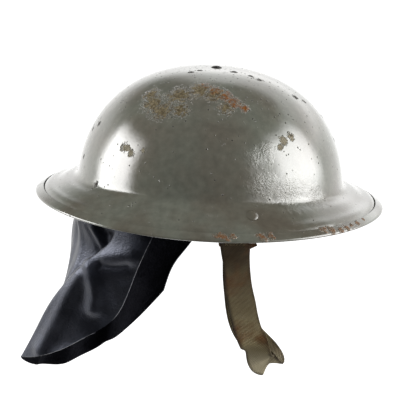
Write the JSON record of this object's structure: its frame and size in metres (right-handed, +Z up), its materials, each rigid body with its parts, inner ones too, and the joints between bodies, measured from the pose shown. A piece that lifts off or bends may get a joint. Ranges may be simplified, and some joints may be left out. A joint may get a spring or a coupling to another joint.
{
  "type": "brodie helmet",
  "caption": "Pressed steel helmet with a wide drooping brim, riveted liner, webbing chin strap and a hanging neck curtain.",
  "frame": {"origin": "middle of the rim's plane, where the wearer's head goes in", "axes": "+X forward, +Y to the wearer's left, +Z up through the crown"},
  "size_m": [0.3149, 0.2904, 0.2852],
  "materials": {
    "painted_steel": "semi-gloss olive-grey paint, worn",
    "blackened_steel": "blackened, worn",
    "rubber": "matte",
    "fibre": "pressed fibre, brown",
    "steel": "dull",
    "oilcloth": "coated cloth, semi-gloss black",
    "felt": "grey felt",
    "cord": "braided cotton",
    "webbing": "woven cotton, khaki",
    "brass": "tarnished"
  },
  "bodies": {
    "helmet": {"shell": "painted_steel", "rim_strip": "painted_steel", "crown_screw": "blackened_steel", "crown_pad": "rubber", "crown_washer": "steel", "crown_nut": "steel", "liner_band_lengthwise": "fibre", "liner_band_crosswise": "fibre", "headband": "fibre", "headband_rivets": "steel", "rubber_buffers": "rubber", "sweatband": "oilcloth", "head_cap": "oilcloth", "cap_lace": "cord", "felt_pad": "felt", "right_lug": "painted_steel", "left_lug": "painted_steel", "right_lug_rivet": "painted_steel", "left_lug_rivet": "painted_steel", "right_strap_end": "webbing", "left_strap_end": "webbing", "curtain_band": "oilcloth", "curtain_studs": "blackened_steel", "curtain_flex": "oilcloth"},
    "chin_strap": {"chin_strap": "webbing"},
    "strap_slide": {"strap_slide": "brass"},
    "curtain_fall": {"curtain_fall": "oilcloth"}
  },
  "joints": [
    {"name": "chin_strap_swing", "type": "hinge", "parent": "helmet", "child": "chin_strap", "pos_m": [0.0205, 0, -0.0013], "axis": [0, -1, 0], "range_deg": [-20, 60], "deforming": ["right_strap_end", "left_strap_end"]},
    {"name": "strap_slide_travel", "type": "slide", "parent": "chin_strap", "child": "strap_slide", "axis": [-0.0609, 0.5411, 0.8387], "range_m": [-0.026, 0.016]},
    {"name": "curtain_swing", "type": "hinge", "parent": "helmet", "child": "curtain_fall", "pos_m": [-0.099, 0, -0.022], "axis": [0, 1, 0], "range_deg": [-5, 45], "deforming": ["curtain_flex"]}
  ]
}
